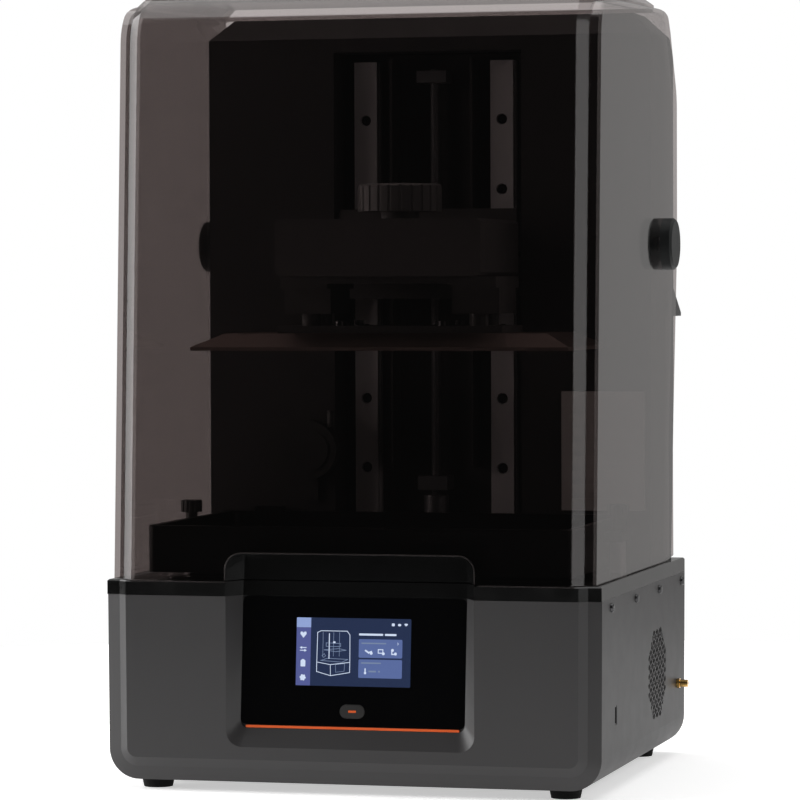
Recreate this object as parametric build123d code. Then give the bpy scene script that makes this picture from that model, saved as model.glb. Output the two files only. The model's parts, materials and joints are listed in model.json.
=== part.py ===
"""Large desktop resin printer: base housing, flip-up tinted hood, rear tower with the lifting arm,
build platform, resin vat and the working parts inside.

Frame while modelling: X to the object's right, Y from the front edge of the base's sides to the rear,
Z up from the surface that the feet stand on.  write() moves every node back by MIDDLE_Y, so that the
origin is at the middle of the footprint.  Millimetres.
"""
import os
from math import atan, cos, degrees, radians, sin, tan

from build123d import *

# ---------------------------------------------------------------- driving dimensions
MIDDLE_Y = 194.0            # half way between the hood's front and the rear bracket

BASE_HALF = 204.6           # half width of the base at its top
BASE_DRAFT = 0.8            # how much narrower each side is at the bottom
BASE_DEPTH = 353.0
BASE_BOTTOM = 8.0
BASE_TOP = 158.0
BASE_CORNER = 25.0
SHEET = 2.5                 # wall of the base shell
FRONT_RIM = 2.0             # depth of the front panel's back edge
RIM_EDGE = 0.2              # straight edge of the rim before its strip begins
SHOULDER_W, SHOULDER_Y = 10.7, -0.9      # shallow outer strip round the front panel
BEVEL_W, FACE_Y = 6.7, -6.0              # bevel up to the raised face
BOTTOM_SHOULDER, BOTTOM_BEVEL = 11.0, 7.8

DECK_TOP = 170.0
DECK_PLATE = 5.0
LCD_X, LCD_Y0, LCD_Y1 = 153.0, 78.0, 238.0

RECESS_HALF, RECESS_LOW, RECESS_HIGH = 102.7, 37.0, 192.6   # display recess at the front face
GLASS_HALF, GLASS_LOW, GLASS_HIGH = 93.0, 52.0, 157.6
GLASS_T = 2.0
GLASS_FOOT_Y = 2.0          # Y of the glass at GLASS_LOW
GLASS_RAKE = degrees(atan(0.0902))
BUTTON_Z, BUTTON_L, BUTTON_H = 66.6, 20.5, 11.0
SCREEN_HALF, SCREEN_LOW, SCREEN_HIGH = 47.5, 86.7, 141.0

HOOD_BOTTOM = 170.6
HOOD_HALF = 199.7
HOOD_WALL = 3.6
HOOD_FRONT_Y = 3.5          # front edge of the hood's sides at its foot
HOOD_RAKE = 3.0             # degrees
HOOD_SHOULDER_Z = 636.0
ROOF_SLOPE = 1.5            # degrees, rising to the rear
ROOF_ROLL = 34.0            # radius from the front into the roof
ROOF_CORNER = 9.0
RIBBON_OUT, RIBBON_HALF, RIBBON_FOOT = 10.5, 182.0, 190.5    # raised centre band of the hood
BAND_LIFT = 0.82            # how far the band stands proud on the roof, as a share of the front

HINGE_Y, HINGE_Z = 287.0, 442.0
HINGE_PIN_R = 6.0
HINGE_CAP_R, HINGE_CAP_OUT = 22.0, 210.0
RUNNING = 0.05              # radial clearance of a running fit

TOWER_HALF, TOWER_FRONT, TOWER_REAR = 195.0, 252.0, 353.0
TOWER_TOP, TOWER_HIP, TOWER_REAR_HIP = 638.0, 18.0, 34.0
TOWER_FOOT_REAR = 341.0     # Y of the rear face at deck level
TOWER_KNEE_Z = 300.0
TOWER_WALL = 3.0
NICHE_HALF, NICHE_LOW, NICHE_HIGH = 84.0, 176.0, 608.0
PLATE_Y, PLATE_T = 292.5, 6.0
LIP_X, LIP_FRONT, LIP_T = 35.5, 266.0, 2.4

RAIL_X, RAIL_W, RAIL_H = 60.5, 20.0, 17.5
RAIL_LOW, RAIL_HIGH, RAIL_PITCH = 200.0, 600.5, 60.0
SCREW_R, SCREW_Y, SCREW_LOW, SCREW_HIGH = 4.2, 281.5, 216.0, 594.0

ARM_HALF, ARM_FRONT, ARM_REAR, ARM_LOW, ARM_HIGH = 87.0, 85.0, 222.0, 415.0, 462.0
NECK_HALF = 70.0
CENTRE_Y = 160.0            # middle of the screen, platform and knob
KNOB_R, KNOB_LOW, KNOB_HIGH = 35.0, 469.0, 492.0
PLATFORM_X, PLATFORM_Y0, PLATFORM_Y1 = 160.0, 84.0, 236.0
PLATFORM_LOW, PLATFORM_HIGH, PLATFORM_SLOPE = 354.0, 368.0, 23.0

VAT_X, VAT_Y0, VAT_Y1, VAT_LOW, VAT_HIGH = 176.5, 18.5, 246.0, 173.0, 213.0
VAT_WALL = 6.0
THUMB_X, THUMB_Y, THUMB_R = 184.5, 163.0, 9.0

FAN_Y, FAN_Z, FAN_SIZE = 229.5, 80.5, 80.0
USB_Y, USB_Z0, USB_Z1, USB_W = 57.0, 55.6, 70.3, 7.0
ANTENNA_Y, ANTENNA_Z, ANTENNA_R, ANTENNA_OUT = 318.0, 63.7, 3.175, 214.0
SIDE_SCREWS_Y = (37.0, 137.0, 237.0, 337.0)
SIDE_SCREW_Z = 150.7
FOOT_X, FOOT_Y, FOOT_R, FOOT_TIP_R = 170.0, (25.0, 320.0), 13.5, 11.8

parts = {}


# ---------------------------------------------------------------- helpers
def block(x0, x1, y0, y1, z0, z1):
    """Rectangular block between two corners."""
    return Pos((x0 + x1) / 2, (y0 + y1) / 2, (z0 + z1) / 2) * Box(x1 - x0, y1 - y0, z1 - z0)


def rod_x(r, x0, x1, y, z):
    return Pos((x0 + x1) / 2, y, z) * Rot(0, 90, 0) * Cylinder(r, x1 - x0)


def rod_y(r, y0, y1, x, z):
    return Pos(x, (y0 + y1) / 2, z) * Rot(90, 0, 0) * Cylinder(r, y1 - y0)


def rod_z(r, z0, z1, x, y):
    return Pos(x, y, (z0 + z1) / 2) * Cylinder(r, z1 - z0)


def prism_x(points, x0, x1):
    """Side outline given as (y, z) points, extruded from x0 to x1."""
    return extrude(Plane(origin=(x0, 0, 0), x_dir=(0, 1, 0), z_dir=(1, 0, 0)) * make_face(
        Polyline(*points, close=True)), amount=x1 - x0)


def prism_z(points, z0, z1):
    """Plan outline given as (x, y) points, extruded from z0 to z1."""
    return extrude(Plane.XY.offset(z0) * make_face(Polyline(*points, close=True)), amount=z1 - z0)


def group(solids):
    """Separate solids that share one node."""
    flat = []
    for item in solids:
        flat.extend(item.solids())
    return Compound(children=[Solid(s.wrapped) for s in flat])


def add(node, shape):
    parts[node] = shape


def glass_y(z):
    """Y of the raked display plane at height z."""
    return GLASS_FOOT_Y + (z - GLASS_LOW) * tan(radians(GLASS_RAKE))


def glass_plane(x, z, depth=0.0):
    """Plane on the display face, its normal pointing out of the face to the front."""
    rake = radians(GLASS_RAKE)
    inward = Vector(0, cos(rake), -sin(rake))
    origin = Vector(x, glass_y(z), z) + inward * depth
    return Plane(origin=origin, x_dir=(1, 0, 0), z_dir=-inward)


def on_glass(sketch, z, thickness, depth=0.0):
    """Extrude a sketch inwards from the display plane, its middle at height z."""
    return extrude(glass_plane(0, z, depth) * sketch, amount=-thickness)


# ---------------------------------------------------------------- base housing
def base_outline(inset_side, inset_bottom, y):
    """Closed front outline of the base, a U with rounded lower corners, at depth y."""
    top_half = BASE_HALF - inset_side
    low_half = BASE_HALF - BASE_DRAFT - inset_side
    low = BASE_BOTTOM + inset_bottom
    radius = max(BASE_CORNER - inset_side, 3.0)
    corners = [(-top_half, BASE_TOP), (-low_half, low), (low_half, low), (top_half, BASE_TOP)]
    face = make_face(Polyline(*corners, close=True))
    lower = face.vertices().sort_by(Axis.Y)[0:2]
    return Plane(origin=(0, y, 0), x_dir=(1, 0, 0), z_dir=(0, -1, 0)) * fillet(lower, radius)


def recess_outline(grow, y):
    """Outline of the display recess where it meets the front face."""
    half = RECESS_HALF + grow
    low, high = RECESS_LOW - grow, RECESS_HIGH + grow
    sketch = Pos(0, (low + high) / 2) * RectangleRounded(2 * half, high - low, 13 + grow)
    return Plane(origin=(0, y, 0), x_dir=(1, 0, 0), z_dir=(0, -1, 0)) * sketch


def recess_floor(grow, depth):
    """Outline of the display recess at the display plane."""
    half = GLASS_HALF + grow
    rake = cos(radians(GLASS_RAKE))
    low, high = GLASS_LOW - grow, RECESS_HIGH + grow
    sketch = RectangleRounded(2 * half, (high - low) / rake, 6 + grow)
    return glass_plane(0, (low + high) / 2, depth) * sketch


def recess(grow=0.0, depth=0.0):
    """Solid of the display recess, with sloping walls down to the raked display plane."""
    mouth = extrude(recess_outline(grow, FACE_Y), amount=14)
    walls = loft([recess_outline(grow, FACE_Y).faces()[0], recess_floor(grow, depth).faces()[0]], ruled=True)
    return mouth.fuse(walls) if grow == 0 else walls


def octagon_x(size, y, z, x0, x1):
    """Octagonal prism along X with the given width across its flats."""
    turned = Plane(origin=(x0, y, z), x_dir=(0, 1, 0), z_dir=(1, 0, 0))
    return extrude(turned * RegularPolygon(size / 2, 8, major_radius=False, rotation=22.5), amount=x1 - x0)


def foot(x, y):
    """Rubber foot that narrows towards the ground."""
    height = BASE_BOTTOM - 0.05
    return Pos(x, y, height / 2) * Cone(FOOT_TIP_R, FOOT_R, height)


def make_base():
    outer = extrude(base_outline(0, 0, FRONT_RIM), amount=-(BASE_DEPTH - FRONT_RIM))
    inner = extrude(base_outline(SHEET, SHEET, FRONT_RIM - 1), amount=-(BASE_DEPTH + 2))
    headroom = block(-BASE_HALF + SHEET, BASE_HALF - SHEET, 0, BASE_DEPTH + 1, BASE_TOP - 40, BASE_TOP + 1)
    shell = outer - inner - headroom
    cuts = [octagon_x(FAN_SIZE - 4, FAN_Y, FAN_Z, side * BASE_HALF - 6, side * BASE_HALF + 6) for side in (-1, 1)]
    cuts.append(block(190, 210, USB_Y - USB_W / 2 - 0.3, USB_Y + USB_W / 2 + 0.3, USB_Z0 - 0.3, USB_Z1 + 0.3))
    cuts.append(rod_x(ANTENNA_R + 0.2, 190, 210, ANTENNA_Y, ANTENNA_Z))
    for y in SIDE_SCREWS_Y:
        cuts.append(rod_x(1.7, -210, 210, y, SIDE_SCREW_Z))
    for x in (-FOOT_X, FOOT_X):
        for y in FOOT_Y:
            cuts.append(rod_z(4.0, 0, 14, x, y))
    add("base_shell", shell.cut(*cuts))

    rim = extrude(base_outline(0, 0, FRONT_RIM), amount=RIM_EDGE)
    flat = base_outline(SHOULDER_W, BOTTOM_SHOULDER, SHOULDER_Y).faces()[0]
    raised = base_outline(SHOULDER_W + BEVEL_W, BOTTOM_SHOULDER + BOTTOM_BEVEL, FACE_Y).faces()[0]
    shoulder = loft([base_outline(0, 0, FRONT_RIM - RIM_EDGE).faces()[0], flat], ruled=True)
    bevel = loft([flat, raised], ruled=True)
    inset = SHOULDER_W + BEVEL_W + 3
    pan = extrude(base_outline(inset, inset, FRONT_RIM + 1), amount=FRONT_RIM + 1 - FACE_Y - 3)
    ledge = extrude(base_outline(SHEET + 0.4, SHEET + 0.4, FRONT_RIM + 8), amount=8)
    ledge -= extrude(base_outline(SHEET + 3, SHEET + 3, FRONT_RIM + 9), amount=10)
    panel = rim.fuse(shoulder, bevel, ledge) - pan
    below_deck = block(-220, 220, -30, 60, 0, BASE_TOP)
    panel = panel.fuse(recess(SHEET, SHEET) & below_deck) - recess()
    window = RectangleRounded(2 * GLASS_HALF - 8, 98, 4)
    panel -= on_glass(window, (GLASS_LOW + GLASS_HIGH) / 2, 12, 0)
    panel -= on_glass(RectangleRounded(2 * GLASS_HALF + 0.4, 110, 5.4), (GLASS_LOW + BASE_TOP) / 2 + 1.6,
                      GLASS_T + 0.1)
    panel &= below_deck
    add("front_panel", panel)

    rear = extrude(base_outline(SHEET + 0.3, SHEET + 0.3, BASE_DEPTH - 3.5), amount=-2.5)
    rear -= block(-220, 220, 340, 360, BASE_TOP - 0.4, BASE_TOP + 1)
    rear -= block(-165, -137.6, 340, 360, 60, 80.4)
    rear -= block(-125, -110.6, 340, 360, 58, 79.6)
    for i in range(6):
        x = -30 + 27 * i
        rear -= block(x, x + 10, 340, 360, 60, 120)
    add("rear_panel", rear)

    add("rubber_feet", group([
        foot(x, y).fuse(rod_z(3.9, BASE_BOTTOM - 1, 13, x, y))
        for x in (-FOOT_X, FOOT_X) for y in FOOT_Y]))

    screws = []
    for side in (-1, 1):
        for y in SIDE_SCREWS_Y:
            head = Pos(side * (BASE_HALF + 0.02), y, SIDE_SCREW_Z) * Rot(0, side * 90, 0) * (
                Sphere(3.6) & Pos(0, 0, 1.2) * Box(8, 8, 2.4))
            screws.append(head.fuse(rod_x(1.6, min(side * 196, side * 205.2), max(side * 196, side * 205.2),
                                          y, SIDE_SCREW_Z)))
    add("side_screws", group(screws))


def make_deck():
    plan = [(-BASE_HALF, BASE_DEPTH), (-BASE_HALF, 0), (-BASE_HALF + SHOULDER_W, SHOULDER_Y),
            (-BASE_HALF + SHOULDER_W + BEVEL_W, FACE_Y), (BASE_HALF - SHOULDER_W - BEVEL_W, FACE_Y),
            (BASE_HALF - SHOULDER_W, SHOULDER_Y), (BASE_HALF, 0), (BASE_HALF, BASE_DEPTH)]
    low = BASE_TOP + 0.05
    deck = prism_z(plan, low, DECK_TOP)
    deck = chamfer(deck.faces().sort_by(Axis.Z)[-1].edges(), 1.2)
    deck -= block(-200, 200, 18, BASE_DEPTH - 3, low - 1, DECK_TOP - DECK_PLATE)
    deck -= recess()
    deck -= block(-LCD_X - 5, LCD_X + 5, LCD_Y0 - 5, LCD_Y1 + 5, 150, 180)
    deck -= rod_z(13, 150, 180, 0, SCREW_Y)
    flanges = [block(-198, -195, 20, 340, 142, 166), block(195, 198, 20, 340, 142, 166)]
    deck = deck.fuse(*flanges)
    for y in SIDE_SCREWS_Y:
        deck -= rod_x(1.7, -205, 205, y, SIDE_SCREW_Z)
    add("top_deck", deck)
    add("mask_glass", block(-LCD_X - 4.6, LCD_X + 4.6, LCD_Y0 - 4.6, LCD_Y1 + 4.6, 168.6, 171.6))
    add("mask_screen", block(-LCD_X, LCD_X, LCD_Y0, LCD_Y1, 166.4, 168.5))


def make_display():
    middle = (GLASS_LOW + GLASS_HIGH) / 2
    slope_len = (GLASS_HIGH - GLASS_LOW - 2.6) / cos(radians(GLASS_RAKE))
    pill = SlotOverall(BUTTON_L + 0.6, BUTTON_H + 0.6)
    glass = on_glass(RectangleRounded(2 * GLASS_HALF - 0.4, slope_len, 5), middle + 1.2, GLASS_T)
    glass -= on_glass(pill, BUTTON_Z, GLASS_T + 4, -1)
    add("display_glass", glass)
    strip_z = GLASS_LOW + 1.2
    add("accent_strip", on_glass(RectangleRounded(2 * GLASS_HALF - 9, 2.0, 0.8), strip_z, GLASS_T - 0.2, -0.2))
    screen_mid = (SCREEN_LOW + SCREEN_HIGH) / 2
    screen_h = (SCREEN_HIGH - SCREEN_LOW) / cos(radians(GLASS_RAKE))
    add("display_module", on_glass(Rectangle(2 * SCREEN_HALF + 6, screen_h + 6), screen_mid, 4, GLASS_T + 0.05))
    carrier = on_glass(Rectangle(2 * GLASS_HALF - 12, 94), middle, 6, GLASS_T + 0.05)
    carrier -= on_glass(Rectangle(2 * SCREEN_HALF + 6.4, screen_h + 6.4), screen_mid, 12, 0)
    carrier -= on_glass(pill, BUTTON_Z, 12, 0)
    add("display_carrier", carrier)
    button = on_glass(SlotOverall(BUTTON_L, BUTTON_H), BUTTON_Z, 5.5, -0.4)
    button -= on_glass(Rectangle(6.6, 2.0), BUTTON_Z, 1.0, -0.5)
    add("power_button", button)
    add("button_light", on_glass(Rectangle(6.4, 1.8), BUTTON_Z, 0.5, -0.4))
    add("button_switch", on_glass(Rectangle(8, 8), BUTTON_Z, 3.6, 5.95)
        .fuse(on_glass(Rectangle(60, 14), BUTTON_Z, 1.6, 9.5)))


# ---------------------------------------------------------------- working parts in the base
def make_electronics():
    case = block(-150, 150, 82, 234, 74, 166) - block(-146, 146, 86, 230, 78, 170)
    case -= block(-120, 120, 100, 216, 70, 80)
    add("light_box", case)
    add("led_board", block(-130, 130, 96, 220, 71, 73.9).fuse(
        *[block(x - 4, x + 4, y - 4, y + 4, 73.8, 76.5)
          for x in range(-105, 106, 30) for y in (113, 143, 173, 203)]))
    add("lens_plate", block(-145, 145, 87, 229, 150, 153))
    fins = [block(-128, 128, y, y + 2.2, 36, 66) for y in range(98, 218, 9)]
    add("heat_sink", block(-130, 130, 96, 220, 65, 70.9).fuse(*fins))

    half = FAN_SIZE / 2
    x0, x1 = 178.0, 198.0
    frame = block(x0, x1, FAN_Y - half, FAN_Y + half, FAN_Z - half, FAN_Z + half)
    frame -= rod_x(half - 1.8, x0 - 1, x1 + 1, FAN_Y, FAN_Z)
    spider = [rod_x(17, x0, x0 + 2.5, FAN_Y, FAN_Z)]
    for angle in (45, 135):
        bar = Pos(x0 + 1.25, FAN_Y, FAN_Z) * Rot(angle, 0, 0) * Box(2.5, FAN_SIZE - 2, 4)
        spider.append(bar)
    frame = frame.fuse(*spider)
    frame = frame.fuse(rod_x(2.4, x0 + 1, x0 + 12, FAN_Y, FAN_Z))
    add("fan_frame", frame)
    hub = rod_x(16, x0 + 4, x1 - 2, FAN_Y, FAN_Z) - rod_x(2.4 + RUNNING, x0 + 3, x0 + 13, FAN_Y, FAN_Z)
    blades = []
    for i in range(7):
        blade = Pos(x0 + 10.5, FAN_Y, FAN_Z) * Rot(i * 360 / 7, 0, 0) * Pos(0, 0, 25.5) * Rot(0, 0, 38) * Box(
            1.6, 17, 22)
        blades.append(blade)
    add("fan_rotor", hub.fuse(*blades))
    guards = []
    for side in (-1, 1):
        inner = side * (BASE_HALF - SHEET - 1.3)
        guard = octagon_x(FAN_SIZE + 6, FAN_Y, FAN_Z, min(inner, inner - side * 1.6), max(inner, inner - side * 1.6))
        for row in range(-3, 4):
            for col in range(-3, 4):
                y, z = FAN_Y + col * 10.4 + (row % 2) * 5.2, FAN_Z + row * 9.6
                if abs(y - FAN_Y) < 34 and abs(z - FAN_Z) < 34:
                    guard -= rod_x(3.9, min(inner, inner - side * 3), max(inner + 1, inner - side * 3), y, z)
        guards.append(guard)
    add("vent_guards", group(guards))

    add("power_supply", block(-185, -95, 245, 340, 14, 56) - block(-183.5, -96.5, 246.5, 338.5, 15.5, 54.5))
    add("main_board", block(-80, 60, 248, 338, 20, 21.6).fuse(
        *[block(x, x + w, y, y + d, 21.5, 21.6 + h)
          for x, w, y, d, h in ((-70, 18, 256, 18, 3), (-40, 30, 262, 30, 9), (5, 14, 256, 40, 12),
                                (30, 16, 300, 16, 6), (-60, 40, 320, 10, 11), (0, 40, 322, 10, 11))],
        *[rod_z(3, 10.6, 20.1, x, y) for x in (-76, 56) for y in (252, 334)]))

    socket = block(-165.6, -137, BASE_DEPTH - 0.95, BASE_DEPTH + 1.6, 57, 83.4)
    socket = socket.fuse(block(-164.7, -137.9, BASE_DEPTH - 22, BASE_DEPTH, 60.3, 80.1))
    socket -= block(-163, -139.6, BASE_DEPTH - 16, BASE_DEPTH + 3, 62, 78.4)
    pins = [block(x - 1, x + 1, BASE_DEPTH - 17, BASE_DEPTH - 3, z, z + 4)
            for x, z in ((-157, 68), (-151.3, 72.5), (-145.6, 68))]
    add("power_inlet", socket.fuse(*pins))
    well = block(-126, -109.6, BASE_DEPTH - 0.95, BASE_DEPTH + 1.2, 57, 80.6)
    well = well.fuse(block(-124.7, -110.9, BASE_DEPTH - 20, BASE_DEPTH, 58.3, 79.3))
    well -= block(-123.4, -112.2, BASE_DEPTH - 14, BASE_DEPTH + 3, 59.6, 78)
    add("switch_housing", well.fuse(rod_x(1.5, -124, -111.6, BASE_DEPTH - 4, 68.8)))
    rocker = prism_x([(BASE_DEPTH - 7, 62.5), (BASE_DEPTH + 1, 62), (BASE_DEPTH - 0.5, 68.8),
                      (BASE_DEPTH + 3, 75.6), (BASE_DEPTH - 7, 75.1)], -122.9, -112.7)
    add("power_rocker", rocker - rod_x(1.5 + RUNNING, -125, -111, BASE_DEPTH - 4, 68.8))
    port = block(190, BASE_HALF - 0.8, USB_Y - USB_W / 2, USB_Y + USB_W / 2, USB_Z0, USB_Z1)
    port -= block(191.5, 206, USB_Y - USB_W / 2 + 0.7, USB_Y + USB_W / 2 - 0.7, USB_Z0 + 0.7, USB_Z1 - 0.7)
    add("usb_port", port)
    stub = rod_x(ANTENNA_R, 196, ANTENNA_OUT, ANTENNA_Y, ANTENNA_Z)
    hexagon = Plane(origin=(BASE_HALF + 0.1, ANTENNA_Y, ANTENNA_Z), x_dir=(0, 1, 0), z_dir=(1, 0, 0))
    stub = stub.fuse(extrude(hexagon * RegularPolygon(4.6, 6), amount=2.2))
    stub -= rod_x(1.1, ANTENNA_OUT - 6, ANTENNA_OUT + 1, ANTENNA_Y, ANTENNA_Z)
    add("antenna_connector", stub)


# ---------------------------------------------------------------- tower
def tower_solid(inset):
    """Outer solid of the tower, or its inside when inset, with a hipped top."""
    half, front = TOWER_HALF - inset, TOWER_FRONT + inset
    rear, foot_rear, top = TOWER_REAR - inset, TOWER_FOOT_REAR - inset, TOWER_TOP - inset
    low = DECK_TOP + 0.05
    side = prism_x([(front, low), (front, top - TOWER_HIP), (front + TOWER_HIP, top),
                    (rear - TOWER_REAR_HIP, top), (rear, top - TOWER_REAR_HIP), (rear, TOWER_KNEE_Z),
                    (foot_rear, low)], -half, half)
    hips = make_face(Polyline((-half, low), (half, low), (half, top - TOWER_HIP), (half - TOWER_HIP, top),
                              (-half + TOWER_HIP, top), (-half, top - TOWER_HIP), close=True))
    return side & extrude(Plane(origin=(0, 400, 0), x_dir=(1, 0, 0), z_dir=(0, -1, 0)) * hips, amount=200)


def make_tower():
    hollow = tower_solid(TOWER_WALL) & block(-300, 300, 200, 400, NICHE_LOW - 3, 700)
    shell = tower_solid(0) - hollow
    shell -= block(-TOWER_HALF + 8, TOWER_HALF - 8, TOWER_REAR - 20, TOWER_REAR + 10, 200, 600)
    shell -= block(-180, 180, 300, 325, 160, 200)
    niche = [block(side * NICHE_HALF - 1.25, side * NICHE_HALF + 1.25, TOWER_FRONT, PLATE_Y, NICHE_LOW - 3,
                   NICHE_HIGH + 2.5) for side in (-1, 1)]
    niche.append(block(-NICHE_HALF, NICHE_HALF, TOWER_FRONT, PLATE_Y, NICHE_HIGH, NICHE_HIGH + 2.5))
    shell -= block(-NICHE_HALF + 1.25, NICHE_HALF - 1.25, TOWER_FRONT - 1, PLATE_Y, DECK_TOP - 1, NICHE_HIGH)
    shell = shell.fuse(*niche)
    shell -= block(120, 188, TOWER_FRONT - 1, TOWER_FRONT + 10, 218, 315)
    for side in (-1, 1):
        shell -= rod_x(HINGE_PIN_R, side * 197.5 - 12, side * 197.5 + 12, HINGE_Y, HINGE_Z)
    add("tower_housing", shell)

    cover = block(-TOWER_HALF + 8.4, TOWER_HALF - 8.4, TOWER_REAR - 2.9, TOWER_REAR, 312, 599.6)
    for row in range(10):
        cover -= block(-60, 60, TOWER_REAR - 4, TOWER_REAR + 1, 540 - row * 8, 544 - row * 8)
    lower = prism_x([(TOWER_REAR - 2.9, 312.1), (TOWER_REAR, 312.1), (TOWER_REAR, TOWER_KNEE_Z),
                     (TOWER_FOOT_REAR + 2.8, 200.4), (TOWER_FOOT_REAR - 0.2, 200.4),
                     (TOWER_REAR - 2.9, TOWER_KNEE_Z)], -TOWER_HALF + 8.4, TOWER_HALF - 8.4)
    add("tower_rear_cover", cover.fuse(lower))

    plate = block(-NICHE_HALF + 1.5, NICHE_HALF - 1.5, PLATE_Y + 0.05, PLATE_Y + PLATE_T, NICHE_LOW - 2.9, 607)
    lips = [block(side * LIP_X - LIP_T / 2, side * LIP_X + LIP_T / 2, LIP_FRONT, PLATE_Y + 1, 250, RAIL_HIGH + 2)
            for side in (-1, 1)]
    add("back_plate", plate.fuse(*lips))
    for side, name in ((-1, "left"), (1, "right")):
        x = side * RAIL_X
        rail = block(x - RAIL_W / 2, x + RAIL_W / 2, PLATE_Y - RAIL_H, PLATE_Y, RAIL_LOW, RAIL_HIGH)
        for flank in (-1, 1):
            groove = x + flank * (RAIL_W / 2 + 0.6)
            rail -= block(groove - 2.6, groove + 2.6, PLATE_Y - 11.5, PLATE_Y - 6, RAIL_LOW - 1, RAIL_HIGH + 1)
        holes = [RAIL_HIGH - 50.5 - RAIL_PITCH * i for i in range(6)]
        for z in holes:
            rail -= rod_y(4.75, PLATE_Y - RAIL_H - 1, PLATE_Y - RAIL_H + 8.5, x, z)
        add(f"rail_{name}", rail)
    caps = []
    for side in (-1, 1):
        for i in range(6):
            z = RAIL_HIGH - 50.5 - RAIL_PITCH * i
            cap = rod_y(4.2, PLATE_Y - RAIL_H + 3, PLATE_Y - RAIL_H + 8.45, side * RAIL_X, z)
            cap -= rod_y(2.2, PLATE_Y - RAIL_H + 2, PLATE_Y - RAIL_H + 6, side * RAIL_X, z)
            caps.append(cap)
    add("rail_screws", group(caps))

    low_block = block(-13, 13, 268, PLATE_Y, 231, 243) - rod_z(SCREW_R + RUNNING, 230, 244, 0, SCREW_Y)
    top_block = block(-13, 13, 268, PLATE_Y, 582, 592) - rod_z(SCREW_R + RUNNING, 581, 593, 0, SCREW_Y)
    add("bearing_blocks", group([low_block, top_block]))
    add("lead_screw", rod_z(SCREW_R, SCREW_LOW, SCREW_HIGH, 0, SCREW_Y))
    sleeve = rod_z(10.5, 204, 226, 0, SCREW_Y) - rod_z(SCREW_R, SCREW_LOW, 227, 0, SCREW_Y)
    sleeve -= rod_z(2.5, 203, SCREW_LOW + 1, 0, SCREW_Y)
    add("shaft_coupling", sleeve)
    add("motor_shaft", rod_z(2.5, 122, SCREW_LOW - 0.2, 0, SCREW_Y))
    motor = block(-21, 21, SCREW_Y - 21, SCREW_Y + 21, 114, 158)
    motor = chamfer(motor.edges().filter_by(Axis.Z), 4)
    motor = motor.fuse(rod_z(11, 157, 160, 0, SCREW_Y)) - rod_z(2.5 + RUNNING, 118, 161, 0, SCREW_Y)
    add("lift_motor", motor)

    pump = rod_y(25, 238, 251.95, -103, 266)
    pump = pump.fuse(rod_y(18, 236.8, 239, -103, 266), rod_z(4, 285, 300, -84, 246))
    pump = pump.fuse(block(-109, -97, 247.2, 251.95, 222, 246))
    add("feed_pump", pump)
    cassette = block(118.5, 189.5, 246.5, TOWER_FRONT - 0.05, 216, 317)
    cassette = cassette.fuse(block(121, 187, TOWER_FRONT - 0.1, TOWER_FRONT + 26, 219, 314))
    for row in range(7):
        cassette -= block(128, 180, 246, 249, 226 + row * 12, 231 + row * 12)
    add("filter_cassette", cassette)

    bracket = block(120, 194, TOWER_REAR + 0.05, TOWER_REAR + 3, 378, 420)
    gussets = [prism_x([(TOWER_REAR + 1, 407), (TOWER_REAR + 41, 383), (TOWER_REAR + 1, 383)], x, x + 3)
               for x in (121, 191)]
    shelf = block(121, 194, TOWER_REAR + 1, TOWER_REAR + 41, 380, 383.1)
    bracket = bracket.fuse(shelf, *gussets) - rod_z(26, 370, 400, 157.5, TOWER_REAR + 34)
    add("rear_bracket", bracket)
    pins = []
    for side in (-1, 1):
        x_in, x_out = side * 188.0, side * 205.5
        collar_a, collar_b = side * 188.0, side * 191.9
        pin = rod_x(HINGE_PIN_R, min(x_in, x_out), max(x_in, x_out), HINGE_Y, HINGE_Z)
        pins.append(pin.fuse(rod_x(12, min(collar_a, collar_b), max(collar_a, collar_b), HINGE_Y, HINGE_Z)))
    add("hinge_pins", group(pins))


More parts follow.
